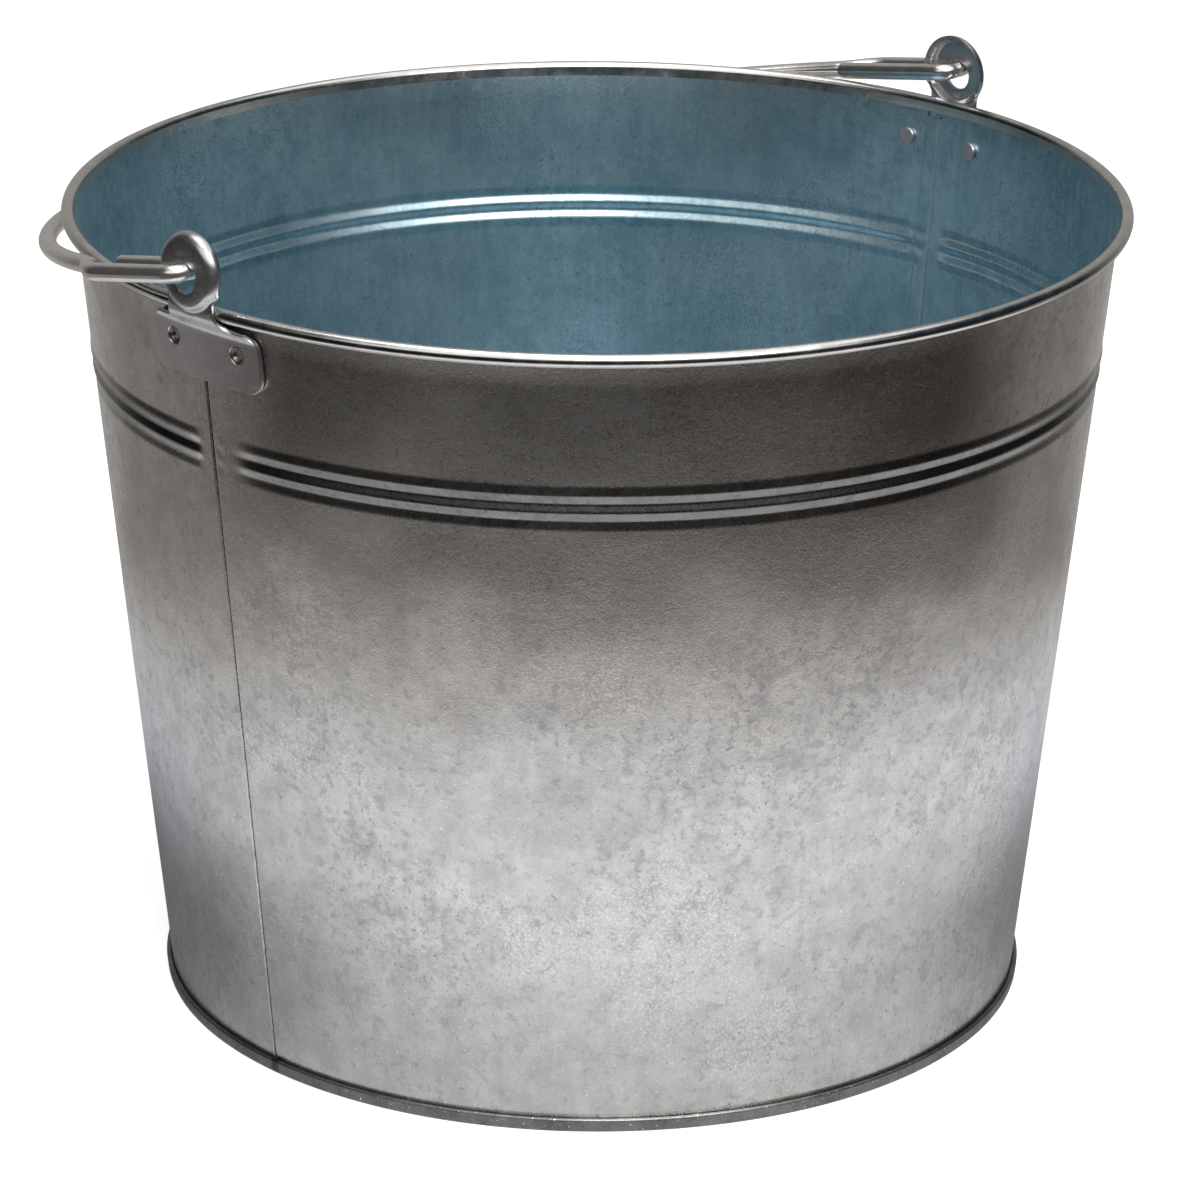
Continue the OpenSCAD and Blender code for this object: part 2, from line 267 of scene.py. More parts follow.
def galvanised(name, light, dark, rough=0.255, spread=0.045, contrast=1.0, warm=0.05, streak=0.5, stains=0.22, bead_flank_shade=0.0,
               seam=None, metallic=1.0, wave=3.0):
    """Zinc-coated sheet: soft mottled spangle, fine grain, small dull spots."""
    m = Nodes(name)
    w = m.warp(0.003, 240.0)
    cloud = m.noise(105.0, 5.0, 0.68, vec=w)                # mottling, about 4 to 9 mm
    big = m.noise(13.0, 3.0, 0.55)                          # broad stains
    grain = m.noise(1900.0, 2.0, 0.7)                       # crystals, about 0.5 mm
    mid = m.noise(330.0, 3.0, 0.62, 0.4, vec=m.mapping(loc=(0.9, 0.1, 0.4)))
    streaks = m.noise(1.0, 3.0, 0.6, vec=m.mapping((520.0, 520.0, 22.0)))
    v = m.math("MULTIPLY_ADD", m.math("SUBTRACT", cloud, 0.5), 2.3 * contrast, 0.56)
    v = m.math("MULTIPLY_ADD", m.math("SUBTRACT", big, 0.5), 1.0, v)
    v = m.math("MULTIPLY_ADD", m.math("SUBTRACT", grain, 0.5), 1.5 * contrast, v)
    v = m.math("MULTIPLY_ADD", m.math("SUBTRACT", streaks, 0.5), streak, v, clamp=True)
    col = m.mix(v, dark, light)
    tone = m.noise(9.0, 2.0, 0.5, vec=m.mapping(loc=(3.1, 1.7, 0.4)))
    col = m.mix(m.range(tone, 0.42, 0.62, 0.0, warm * 4.0), col, (light[0] * 0.98, light[1] * 0.93, light[2] * 0.84))
    # dull blotches of 1 to 4 mm, thick in places
    dens = m.range(m.noise(24.0, 2.0, 0.5, vec=m.mapping(loc=(0.3, 5.1, 2.2))), 0.38, 0.66, -0.05, 0.05)
    blot = m.range(m.math("ADD", mid, dens), 0.50, 0.68, 0.0, 0.42 * contrast, smooth=True)
    col = m.mix(blot, col, (dark[0] * 0.72, dark[1] * 0.72, dark[2] * 0.74))
    # small darker spots
    sp = m.math("ADD", m.noise(820.0, 1.0, 0.5, vec=m.mapping(loc=(0.7, 0.2, 0.9))), dens)
    col = m.mix(m.range(sp, 0.64, 0.80, 0.0, 0.50 * contrast, smooth=True), col, (dark[0] * 0.4, dark[1] * 0.4, dark[2] * 0.42))
    # a few round stains, about 5 mm
    sw = m.warp(0.003, 320.0)
    st = m.range(m.voronoi(26.0, sw, out="Distance"), 0.055, 0.075, 1.0, 0.0, smooth=True)
    pick = m.range(m.sep(m.voronoi(26.0, sw)), 0.72, 0.78, 0.0, stains, smooth=True)
    col = m.mix(m.math("MULTIPLY", st, pick), col, (dark[0] * 0.5, dark[1] * 0.5, dark[2] * 0.52))
    # painted glints (lighter specks) in frosty patches, and scattered dust
    patch = m.range(m.noise(19.0, 2.0, 0.5, vec=m.mapping(loc=(7.3, 0.4, 5.5))), 0.53, 0.66, 0.0, 0.55, smooth=True)
    painted_glint = m.math("MULTIPLY", m.range(m.noise(1250.0, 2.0, 0.6, vec=m.mapping(loc=(1.3, 4.4, 0.5))), 0.50, 0.62), patch)
    col = m.mix(painted_glint, col, (min(1, light[0] * 1.3), min(1, light[1] * 1.27), min(1, light[2] * 1.25)))
    dust = m.range(m.noise(1500.0, 0.0, 0.5), 0.79, 0.83, 0.0, 0.8)
    col = m.mix(dust, col, (0.95, 0.95, 0.95))
    if bead_flank_shade:
        # painted shade on the beads' flanks, heaviest on the downward-facing ones, left off where the beads fade out at
        # the seams
        z = m.sep(m.co, 2)
        clear = m.range(m.math("ABSOLUTE", m.sep(m.co, 1)), 0.003, 0.017, 0.0, 1.0, smooth=True)
        for zc, amount in ((0.19155, 0.50), (0.18915, 0.85), (0.18675, 0.60), (0.18435, 0.85), (0.18195, 0.36)):
            d = m.math("ABSOLUTE", m.math("SUBTRACT", z, zc))
            f = m.math("MULTIPLY", m.range(d, 0.0008, 0.0017, bead_flank_shade * amount, 0.0, smooth=True), clear)
            col = m.mix(f, col, (0.05, 0.048, 0.046))
    if seam:
        # colour lines along each seam (painted shade and painted highlight on the wall sheet); distance from each seam
        # line, measured towards the folded band
        rag = m.math("MULTIPLY", m.math("SUBTRACT", m.noise(420.0, 2.0, 0.6), 0.5), 0.0005)
        x, y = m.sep(m.co, 0), m.sep(m.co, 1)
        for ang, side in ((SEAM_R, 1.0), (SEAM_L, -1.0)):
            c, sn = math.cos(math.radians(ang)), math.sin(math.radians(ang))
            sd = m.math("ADD", m.math("SUBTRACT", m.math("MULTIPLY", y, c), m.math("MULTIPLY", x, sn)), rag)
            near = m.math("GREATER_THAN", m.math("MULTIPLY", x, side), 0.05)
            for at, half, amount, tint in seam:
                d = m.math("ABSOLUTE", m.math("SUBTRACT", sd, at))
                f = m.math("MULTIPLY", m.range(d, half * 0.4, half, amount, 0.0, smooth=True), near)
                col = m.mix(f, col, tint)
    r = m.math("MULTIPLY_ADD", m.math("SUBTRACT", cloud, 0.5), -spread * 3, rough)
    r = m.math("MULTIPLY_ADD", m.math("SUBTRACT", big, 0.5), spread * 5, r)
    r = m.math("MULTIPLY_ADD", m.math("SUBTRACT", grain, 0.5), spread * 3, r)
    r = m.math("MULTIPLY_ADD", blot, 0.10, r)
    broad = m.noise(11.0, 2.0, 0.5, vec=m.mapping(loc=(4.0, 9.0, 1.0)))
    h = m.math("MULTIPLY_ADD", grain, 0.05, m.math("MULTIPLY_ADD", mid, 0.06, m.math("MULTIPLY", broad, wave)))
    m.bump(h, 0.6, 0.001)
    return m.finish(col, r, metallic)


def bright_steel(name, base, rough, scratch=(1.0, 1.0, 1.0), stain=(0.45, 0.42, 0.40), spots=0.5, metallic=1.0):
    """Bright zinc-plated steel: fine drawing lines, small dull spots, handling wear."""
    m = Nodes(name)
    lines = m.noise(1.0, 3.0, 0.65, vec=m.mapping(scratch))
    blotch = m.noise(160.0, 4.0, 0.65)
    fine = m.noise(1700.0, 2.0, 0.6)
    v = m.math("MULTIPLY_ADD", m.math("SUBTRACT", lines, 0.5), 1.0, 0.6)
    v = m.math("MULTIPLY_ADD", m.math("SUBTRACT", blotch, 0.5), 1.6, v)
    v = m.math("MULTIPLY_ADD", m.math("SUBTRACT", fine, 0.5), 0.9, v, clamp=True)
    col = m.mix(v, tuple(c * 0.72 for c in base), base)
    dots = m.range(m.noise(620.0, 1.0, 0.5, vec=m.mapping(loc=(2.2, 0.1, 1.3))), 0.69, 0.80, 0.0, spots, smooth=True)
    col = m.mix(dots, col, stain)
    r = m.math("MULTIPLY_ADD", m.math("SUBTRACT", blotch, 0.5), 0.25, rough)
    r = m.math("MULTIPLY_ADD", dots, 0.2, r)
    r = m.math("MULTIPLY_ADD", m.math("SUBTRACT", lines, 0.5), 0.15, r)
    m.bump(m.math("MULTIPLY_ADD", fine, 0.3, lines), 0.05, 0.0002)
    return m.finish(col, r, metallic)


# dark colour for the seam marks: painted shade along the outside seam line, and a darker band beside the seams on the
# base ring
SEAM_DARK = (0.035, 0.033, 0.031)
# outside sheet: painted shade on the beads' flanks, and a painted shade line along each seam
MAT_OUT = galvanised("galvanised_outside", (0.715, 0.695, 0.67), (0.50, 0.485, 0.47), bead_flank_shade=0.80,
                     seam=((0.00005, 0.00048, 0.62, SEAM_DARK),))
# inside of the same sheet: its darker blue-teal colour is painted shade and the interior's blue cast; along the seam, a
# painted highlight line and a painted shade line
MAT_IN_SHADED = galvanised("galvanised_inside_shaded", (0.575, 0.73, 0.785), (0.34, 0.495, 0.565), rough=0.345, contrast=1.15, warm=0.0,
                    streak=1.0, wave=1.5,
                    seam=((-0.0004, 0.0007, 0.4, (0.74, 0.84, 0.87)), (0.0049, 0.0006, 0.6, (0.02, 0.04, 0.05))))
MAT_RIM = bright_steel("galvanised_rim", (0.80, 0.79, 0.77), 0.22, scratch=(60.0, 60.0, 60.0), spots=0.3)
# base ring: a darker band beside each seam
MAT_BASE = galvanised("galvanised_base_ring", (0.29, 0.28, 0.275), (0.15, 0.145, 0.14), rough=0.36, contrast=0.9, warm=0.02,
                      seam=((0.0014, 0.0022, 0.7, SEAM_DARK),))
# the pan's inner floor: its darker blue colour is painted shade and the interior's blue cast
MAT_FLOOR_IN_SHADED = galvanised("galvanised_floor_shaded", (0.46, 0.58, 0.64), (0.30, 0.41, 0.47), rough=0.38, contrast=0.8, warm=0.0)
MAT_EAR = bright_steel("plated_ear", (0.61, 0.595, 0.605), 0.235, scratch=(90.0, 90.0, 700.0), metallic=0.95)
MAT_BAIL = bright_steel("bright_bail_wire", (0.84, 0.81, 0.77), 0.19, scratch=(40.0, 900.0, 900.0), spots=0.35, metallic=0.93)
MAT_RIVET = bright_steel("rivet_steel", (0.64, 0.55, 0.56), 0.36, scratch=(500.0, 500.0, 500.0), stain=(0.20, 0.14, 0.13), metallic=0.93)
# rivet tail: brownish rivet colour, darkened as painted shade on the rolled edge and in the pit
MAT_TAIL_SHADED = bright_steel("rivet_tail_shaded", (0.34, 0.25, 0.235), 0.36, scratch=(500.0, 500.0, 500.0), stain=(0.10, 0.06, 0.05))


# -------------------------------------------------------------- wall sheets
def bead_shape(z):
    """Twin bead's radial offset at height z, for an amplitude of 1."""
    d = Z_RIM - 36.1 - np.asarray(z, float)
    out = np.zeros_like(d)
    for o in np.linspace(-0.42, 0.42, 7):
        out += np.interp(d + o, [0, 2.4, 4.8, 7.2, 9.6, 12.0], [0, 1, -1, 1, -1, 0], left=0, right=0)
    return out / 7.0


def wall_rows():
    r_turn = 0.1 + T
    z_turn = T + 0.1 + T / 2 + r_turn
    z_hook = 4.0 - T - 0.1 - 0.45
    pts, kind = [], []

    def add(a, k):
        for q in np.atleast_2d(a):
            pts.append(q)
            kind.append(k)

    add([rw(z_hook) - T / 2 + 2 * r_turn, z_hook], "hook")
    add(arc_pts(rw(z_turn) - T / 2 + r_turn, z_turn, r_turn, 0, -180, 9), "hook")
    zs = [2.2, 3.2, 4.3, 5.2, 6.4, 8.3, 9.0, 12.0]
    zs += list(np.arange(18.0, 175.0, 6.0))
    zb1, zb0 = Z_RIM - 36.1 + 0.8, Z_RIM - 48.1 - 0.8
    zs = [z for z in zs if z < zb0 - 1.5]
    zs += list(np.linspace(zb0, zb1, 46))
    zs += list(np.linspace(zb1 + 2.5, Z_RIM - 9.0, 8))
    add([[rw(z) - T / 2, z] for z in zs], "wall")
    # neck: eases out by half a millimetre to meet the rolled rim at a tangent
    r_curl = BEAD_R - T / 2
    za = Z_RIM - 8.0
    zb = Z_RIM + r_curl * math.sin(LEAN)
    step = RIM_R - r_curl * math.cos(LEAN) - (rw(zb) - T / 2)
    for z in np.linspace(za, zb, 12)[:-1]:
        add([rw(z) - T / 2 + step * ((z - za) / (zb - za)) ** 1.5, z], "neck")
    add(arc_pts(RIM_R, Z_RIM, r_curl, 180 - math.degrees(LEAN), -118, 36), "curl")
    return np.array(pts), np.array(kind)


def fold_a():
    """Plan path of the outer hook at a sheet's start, from its free end to the
    main layer: x along the wall in mm from the seam line, y outwards."""
    gap, rc = 0.12, 0.38
    y2 = -2 * LAY
    xa = gap + T / 2 + rc
    pts = [[x, y2] for x in np.linspace(3.6, xa + 0.3, 6)]
    pts += arc_pts(xa, y2 + rc, rc, -90, -180, 6).tolist()
    pts += arc_pts(xa, -rc, rc, 180, 90, 7).tolist()
    return np.array(pts)


def fold_b():
    """Plan path of the inner hook at a sheet's end, from the main layer down
    the step, along the band and back."""
    rc = 0.42
    y3, y1 = -3 * LAY, -LAY
    xs = -0.10 - T / 2                       # centre of the step
    pts = arc_pts(xs - rc, -rc, rc, 90, 0, 7).tolist()
    pts += arc_pts(xs + rc, y3 + rc, rc, 180, 270, 6).tolist()
    rf = (y1 - y3) / 2
    pts += [[x, y3] for x in (0.9, 1.6, 2.4, 3.2, 4.4 - rf - T / 2)]
    pts += arc_pts(4.4 - rf - T / 2, y3 + rf, rf, -90, 90, 9)[1:].tolist()
    pts += [[x, y1] for x in (3.0, 2.2, 1.2)]
    return np.array(pts)


def wall_sheet(name, a0, a1, seed, fade_a):
    rows, kind = wall_rows()
    rn = -path_normals(rows)                 # right-hand side: the bucket's outside
    deg = 180.0 / math.pi / REF_R
    fa, fb = fold_a(), fold_b()
    # main columns, in degrees from a0: fine near the seams, one degree elsewhere
    span = a1 - a0
    xa0 = fa[-1, 0] * deg
    xb0 = span + fb[0, 0] * deg
    fine_a = xa0 + np.array([0.12, 0.35, 0.7, 1.05, 1.4, 1.75, 2.1, 2.5, 2.9, 3.3, 3.7, 4.2, 4.8, 5.4])
    fine_b = xb0 - np.array([0.1, 0.3, 0.6, 1.0, 1.4, 1.8, 2.2, 2.6, 3.0, 3.5, 4.1, 4.8, 5.4])[::-1]
    n_mid = int(round(fine_b[0] - fine_a[-1]))
    mid = np.linspace(fine_a[-1], fine_b[0], n_mid + 1)[1:-1]
    th = np.concatenate([fa[:, 0] * deg, fine_a, mid, fine_b, span + fb[:, 0] * deg])
    y = np.concatenate([fa[:, 1], np.zeros(len(fine_a) + len(mid) + len(fine_b)), fb[:, 1]])
    na, nb = len(fa), len(fb)
    nm = len(th) - na - nb
    plan = np.stack([th / deg, y], 1)
    nrm = path_normals(plan)
    nrm[na:na + nm] = (0, 1)
    nrm[na - 1] = (0, 1)
    nrm[na + nm] = (0, 1)
    # which rows each column spans: 0 all, 1 shallow fold, 2 deep fold
    grp = np.zeros(len(th), int)
    grp[:na - 1] = np.where(fa[:-1, 1] < -0.62, 2, 1)
    grp[na + nm + 1:] = np.where(fb[1:, 1] < -0.62, 2, 1)
    z = rows[:, 1]
    body = (kind == "wall") | (kind == "neck")
    ok = {0: np.ones(len(rows), bool),
          1: body & (z > 4.25) & (z < Z_RIM - 3.0),
          2: body & (z > 8.2) & (z < Z_RIM - 3.0)}
    # beads die out either side of a seam, with a short piece on the band
    da = th * REF_R * math.pi / 180.0
    db = (span - th) * REF_R * math.pi / 180.0
    amp = 0.43 * ss((da - 4.8) / fade_a) * ss((db - 2.6) / 5.0)
    on_band = 0.10 * ss((da - 0.9) / 0.9) * ss((4.3 - da) / 0.9)
    amp = np.where((np.arange(len(th)) >= na) & (da < 5.0), on_band, amp)
    xb = fb[:, 0]
    amp[na + nm:] = 0.20 * ss((xb - 1.0) / 0.8) * ss((4.0 - xb) / 0.8) * (fb[:, 1] < -1.2)
    amp[:na] = 0.0
    bead = bead_shape(z) * body
    ang = np.radians(a0 + th)
    # slight unevenness of rolled thin sheet
    rng = np.random.RandomState(seed)
    ph = rng.uniform(0, 6.28, 8)
    A, Zg = np.meshgrid(ang, z)
    wob = (0.07 * np.sin(3 * A + ph[0]) + 0.05 * np.sin(5 * A + ph[1] + Zg / 60)
           + 0.035 * np.sin(9 * A + ph[2] - Zg / 45) + 0.03 * np.sin(14 * A + ph[3]) * np.sin(Zg / 38 + ph[4]))
    fade = ss((da - 2) / 22) * ss((db - 2) / 22)
    hold = ss((Zg - 14) / 40) * (1 - 0.6 * ss((Zg - (Z_RIM - 30)) / 25))
    wob = wob * fade[None, :] * hold
    base_r = rows[:, 0][:, None] + bead[:, None] * amp[None, :] + wob
    sides = []
    for s in (+1, -1):
        off = y[None, :] + s * T / 2 * nrm[None, :, 1]
        R = base_r + off * rn[:, 0][:, None]
        Zc = z[:, None] + off * rn[:, 1][:, None]
        Th = ang[None, :] + (s * T / 2 * nrm[:, 0] / REF_R)[None, :] + 0 * R
        # above and below the folds the two sheets butt on the seam line
        butt = (z > Z_RIM - 3.0) | (kind == "curl") | (z < 4.25)
        Th[butt, na - 1] = math.radians(a0 + 0.06 * deg)
        Th[butt, na + nm] = math.radians(a1 - 0.06 * deg)
        sides.append(np.stack([R * np.cos(Th), R * np.sin(Th), Zc], -1))
    nr, nc = len(rows), len(th)
    verts = np.concatenate([sides[0].reshape(-1, 3), sides[1].reshape(-1, 3)])
    off_in = nr * nc
    cell = np.zeros((nr - 1, nc - 1), bool)
    for j in range(nc - 1):
        g = max(grp[j], grp[j + 1])
        cell[:, j] = ok[g][:-1] & ok[g][1:]
    faces, mids = [], []
    for i in range(nr - 1):
        rim_row = kind[i] == "curl" or (kind[i] == "neck" and z[i] > Z_RIM - 2.6)
        for j in range(nc - 1):
            if not cell[i, j]:
                continue
            a, b, c, d = i * nc + j, i * nc + j + 1, (i + 1) * nc + j + 1, (i + 1) * nc + j
            faces.append((a, b, c, d))
            mids.append(0)
            faces.append((off_in + d, off_in + c, off_in + b, off_in + a))
            mids.append(2 if rim_row else (0 if kind[i] == "hook" else 1))
            m_edge = 2 if rim_row else 1
            if j == 0 or not cell[i, j - 1]:
                faces.append((a, d, off_in + d, off_in + a)); mids.append(m_edge)
            if j == nc - 2 or not cell[i, j + 1]:
                faces.append((c, b, off_in + b, off_in + c)); mids.append(m_edge)
            if i == 0 or not cell[i - 1, j]:
                faces.append((b, a, off_in + a, off_in + b)); mids.append(m_edge)
            if i == nr - 2 or not cell[i + 1, j]:
                faces.append((d, c, off_in + c, off_in + d)); mids.append(m_edge)
    return build(name, verts, faces, [MAT_OUT, MAT_IN_SHADED, MAT_RIM], mids, sharp=50.0, recalc=False)


front = wall_sheet("front_wall_sheet", SEAM_L - 360.0, SEAM_R, 3, 13.0)
back = wall_sheet("back_wall_sheet", SEAM_R, SEAM_L, 8, 5.0)
for ob, node in ((front, "front_wall"), (back, "back_wall")):
    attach(ob, "bucket")
    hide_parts(node)


# --------------------------------------------------------------- bottom pan
def pan():
    g = 0.1
    off_in = -T - g - T / 2
    off_out = 3 * g + 2.5 * T
    off_hook = g + T / 2
    rt = (off_out - off_hook) / 2
    rc = 2.0
    zt = 4.0 - T / 2 - rt
    fh = 8.0
    line = [[r, fh - T / 2] for r in (0.0, 8.0, 20.0, 40.0, 60.0, 80.0, 100.0, 112.0, 117.0)]
    line += arc_pts(rw(fh - rc) + off_in - rc, fh - T / 2 - rc, rc, 90, 0, 8).tolist()
    line += [[rw(zz) + off_in, zz] for zz in (4.5, 3.0, 1.6)]
    line += arc_pts(rw(0.8) + off_in + 0.6, T / 2 + 0.6, 0.6, 180, 270, 6).tolist()
    line += arc_pts(rw(0.8) + off_out - 0.6, T / 2 + 0.6, 0.6, -90, 0, 7).tolist()
    line += [[rw(2.0) + off_out, 2.0]]
    line += arc_pts(rw(zt) + off_hook + rt, zt, rt, 0, 180, 11).tolist()
    line += [[rw(2.0) + off_hook, 2.0], [rw(1.25) + off_hook, 1.25]]
    line = np.array(line)
    nl = path_normals(line)
    nl[0] = (0, 1)
    up = line + nl * T / 2
    dn = line - nl * T / 2
    up[0, 0] = dn[0, 0] = 0.0
    n = 360
    ang = 2 * math.pi * np.arange(n) / n
    m = len(line)
    verts = []
    for side in (up, dn):
        R = np.broadcast_to(side[:, 0], (n, m)).copy()
        Z = np.broadcast_to(side[:, 1], (n, m)).copy()
        # thin floor: faint, shallow unevenness, no deeper than half a millimetre
        A = ang[:, None]
        w = ss(R / 30) * ss((112 - R) / 30) * (Z > 7.0)
        Z -= 0.22 * w * (1 + np.sin(2 * A + 0.6) * np.sin(R / 31.0) * 0.8)
        # the base ring swells over the side seams' thickness
        for s in (SEAM_L, SEAM_R):
            d = (np.degrees(ang) - s + 180) % 360 - 180
            sw = np.exp(-((d * REF_R * math.pi / 180 - 1.6) / 2.2) ** 2)[:, None]
            R += -0.0 * sw
            Z += sw * 0.18 * ((R > rw(3.0) + 0.2) & (Z > 3.0))
        verts.append(np.stack([R * np.cos(A), R * np.sin(A), Z], -1).reshape(-1, 3))
    verts = np.concatenate(verts)
    faces, mids = [], []
    o = n * m
    for i in range(n):
        j = (i + 1) % n
        for k in range(m - 1):
            inner = line[k, 0] < rw(fh) - 0.9 and line[k + 1, 1] > 1.0 and k < 20
            a, b, c, d = i * m + k, j * m + k, j * m + k + 1, i * m + k + 1
            faces.append((a, b, c, d) if k else (a, c, d)); mids.append(1 if k < 14 else 0)
            faces.append((o + d, o + c, o + b, o + a) if k else (o + d, o + c, o + a)); mids.append(0)
        k = m - 1
        faces.append((i * m + k, j * m + k, o + j * m + k, o + i * m + k)); mids.append(0)
    return build("bottom_pan_sheet", verts, faces, [MAT_BASE, MAT_FLOOR_IN_SHADED], mids, sharp=45.0)


bottom = pan()
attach(bottom, "bucket")
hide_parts("bottom_pan")


# --------------------------------------------------------------------- ears
def half_width(z):
    """Half width of the ear's neck and plate at height z above the rim centre."""
    zt, zb, w, c, f, nk = -4.2, -20.8, 21.0, 5.0, 5.0, 8.5
    if z >= zt + f:
        return nk
    if z > zt:
        return nk + f - math.sqrt(max(0.0, f * f - (z - zt - f) ** 2))
    if z > zt - c:
        return w - c + math.sqrt(max(0.0, c * c - (z - zt + c) ** 2))
    if z >= zb + c:
        return w
    return w - c + math.sqrt(max(0.0, c * c - (z - zb - c) ** 2))


def ear_radius(z):
    """Radius of the ear sheet's middle at height z above the rim centre."""
    rn = 150.0 + 0.25 + 0.5
    z1, z2 = -6.9, -0.3
    r0 = rw(Z_RIM + min(z, z1)) + 0.05 + 0.5
    if z <= z1:
        return r0
    return r0 + (rn - r0) * float(ss((z - z1) / (z2 - z1)))


def cutter(name, a):
    prof = [(0, -3), (2.15, -3), (2.15, 0.62), (2.62, 1.05), (2.80, 1.25), (2.80, 4), (0, 4)]
    v, f = lathe(prof, 48, closed=False)
    ob = build(name, v, f, [], sharp=None)
    ob.data.transform(place_on_wall(a, Z_RIM - 10.7))
    return ob


def place_on_wall(a, z):
    """Local +Z goes out along the wall's normal at angle a and height z."""
    ar = math.radians(a)
    return (Matrix.Rotation(ar, 4, "Z") @ Matrix.Translation((rw(z) * MM, 0, z * MM))
            @ Matrix.Rotation(math.pi / 2 + LEAN, 4, "Y"))


def ear(name, turn):
    N = 120
    zc, zh, x0 = 10.1, 9.1, 152.3
    rf, rb = 8.2, 2.46
    phis = np.arange(N) * 2 * math.pi / N            # 0 points down
    phn = math.radians(51.0)
    rings = []
    for t in (0.0, 0.08, 0.25, 0.5, 0.75, 1.0):
        ring = []
        for p in phis:
            h = np.array([4.4 * math.sin(p), zh - 4.4 * math.cos(p)])
            d = np.array([rf * math.sin(p), zc - rf * math.cos(p)])
            q = h + (d - h) * t
            # the hole's edge is turned very slightly by the punch
            ring.append([x0 - 0.10 * (1 - t) ** 6, q[0], q[1]])
        rings.append(ring)
    for b in list(np.linspace(0, 1, 11)[1:]) + [1.08]:
        ring = []
        for p in phis:
            pa = abs((p + math.pi) % (2 * math.pi) - math.pi)
            w = float(ss((pa - phn + math.radians(3)) / math.radians(24)))
            al = min(b, 1.0) * math.pi / 2
            ext = max(0.0, b - 1.0) / 0.08 * 0.55
            r1, x1 = rf + rb * math.sin(al), x0 - rb * (1 - math.cos(al)) - ext
            bb = min(b, 1.0)
            r2 = rf + rb * bb + ext
            y2 = r2 * math.sin(p)
            x2 = x0 - 1.55 * float(ss(bb)) - y2 * y2 / 302.0 * float(ss(bb))
            rr, xx = r1 * w + r2 * (1 - w), x1 * w + x2 * (1 - w)
            ring.append([xx, rr * math.sin(p), zc - rr * math.cos(p)])
        rings.append(ring)
    verts = [q for ring in rings for q in ring]
    nr = len(rings)
    faces = []
    for i in range(nr - 1):
        for k in range(N):
            l = (k + 1) % N
            faces.append((i * N + k, i * N + l, (i + 1) * N + l, (i + 1) * N + k))
    # neck and plate hang from the lowest part of the last ring
    ks = [k % N for k in range(-17, 18)]
    last = [(nr - 1) * N + k for k in ks]
    s = np.array([math.sin(phis[k]) for k in ks]) / math.sin(phn)
    lv = [np.array(verts[i]) for i in last]
    zs = [-1.6, -2.2, -2.8, -3.4, -3.9, -4.19]
    zs += [-9.2 + 5.0 * math.sin(math.radians(a)) for a in (89.0, 80, 70, 58, 44, 30, 15, 0)]
    zs += [-11.0, -13.0, -14.6]
    zs += [-15.8 - 5.0 * math.sin(math.radians(a)) for a in (0, 15, 30, 44, 58, 70, 80, 87)]

    def plate_pt(sk, z):
        hw = half_width(z)
        yy = sk * hw
        r = ear_radius(z)
        lift = 0.0
        if z < -3.0:
            lift = 0.45 * (abs(yy) / 21.0) ** 3 * float(ss((-3.0 - z) / 2.5))
        r += lift
        return [math.sqrt(r * r - yy * yy), yy, z]

    prev = last
    for u in (0.35, 0.7):
        row = []
        for i, sk in enumerate(s):
            a = lv[i]
            zz = a[2] + (-1.6 - a[2]) * u
            tgt = plate_pt(sk, min(zz, -0.3) if u > 0.5 else zz)
            yy = sk * (half_width(max(zz, -4.0)))
            r = ear_radius(zz)
            xt = math.sqrt(r * r - yy * yy)
            w = float(ss(u / 0.7))
            verts.append([a[0] * (1 - w) + xt * w, a[1] * (1 - w) + yy * w, zz])
            row.append(len(verts) - 1)
        for i in range(len(ks) - 1):
            faces.append((prev[i], prev[i + 1], row[i + 1], row[i]))
        prev = row
    for z in zs:
        row = []
        for sk in s:
            verts.append(plate_pt(sk, z))
            row.append(len(verts) - 1)
        for i in range(len(ks) - 1):
            faces.append((prev[i], prev[i + 1], row[i + 1], row[i]))
        prev = row
    v = np.array(verts)
    v[:, 2] += Z_RIM
    ob = build(name, v, faces, [MAT_EAR], sharp=None)
    sol = ob.modifiers.new("sheet", "SOLIDIFY")
    sol.thickness = 1.0 * MM
    sol.offset = 0.0
    sol.use_even_offset = True
    sol.use_quality_normals = True
    bev = ob.modifiers.new("edge", "BEVEL")
    bev.width = 0.16 * MM
    bev.segments = 2
    bev.limit_method = "ANGLE"
    bev.angle_limit = math.radians(50)
    baked(ob)
    cuts = []
    for a in (-4.9, 4.9):
        c = cutter("cut", a)
        bo = ob.modifiers.new("hole", "BOOLEAN")
        bo.operation = "DIFFERENCE"
        bo.solver = "EXACT"
        bo.object = c
        cuts.append(c)
    baked(ob)
    for c in cuts:
        me = c.data
        bpy.data.objects.remove(c)
        bpy.data.meshes.remove(me)
    ob.data.transform(Matrix.Rotation(math.radians(turn), 4, "Z"))
    for p in ob.data.polygons:
        p.use_smooth = True
    ob.data.set_sharp_from_angle(angle=math.radians(42))
    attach(ob, "bucket")
    return ob


ear_r = ear("right_ear_pressing", 0.0)
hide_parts("right_ear")
ear_l = ear("left_ear_pressing", 180.0)
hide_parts("left_ear")


